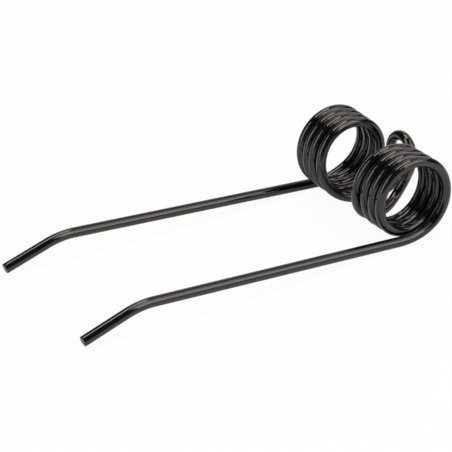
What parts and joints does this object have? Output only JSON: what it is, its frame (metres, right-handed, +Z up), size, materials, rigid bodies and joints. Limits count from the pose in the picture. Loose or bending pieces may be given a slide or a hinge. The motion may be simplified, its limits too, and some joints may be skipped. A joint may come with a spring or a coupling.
{
  "type": "baler pick-up tine",
  "caption": "Spring tine bent from one round wire: straight parallel legs with bent-down tips, a coil at the root of each, and a bolt loop between the coils.",
  "frame": {"origin": "on the ground under the middle of the tine's length and width, as it lies at rest", "axes": "+X along the coils, from the left leg to the right one; +Y from the tips to the coils; +Z up"},
  "size_m": [0.0908, 0.2218, 0.0483],
  "materials": {
    "lacquered_wire": "gloss black lacquer on round spring steel wire"
  },
  "bodies": {
    "root": {"double_tine": "lacquered_wire"}
  },
  "joints": []
}
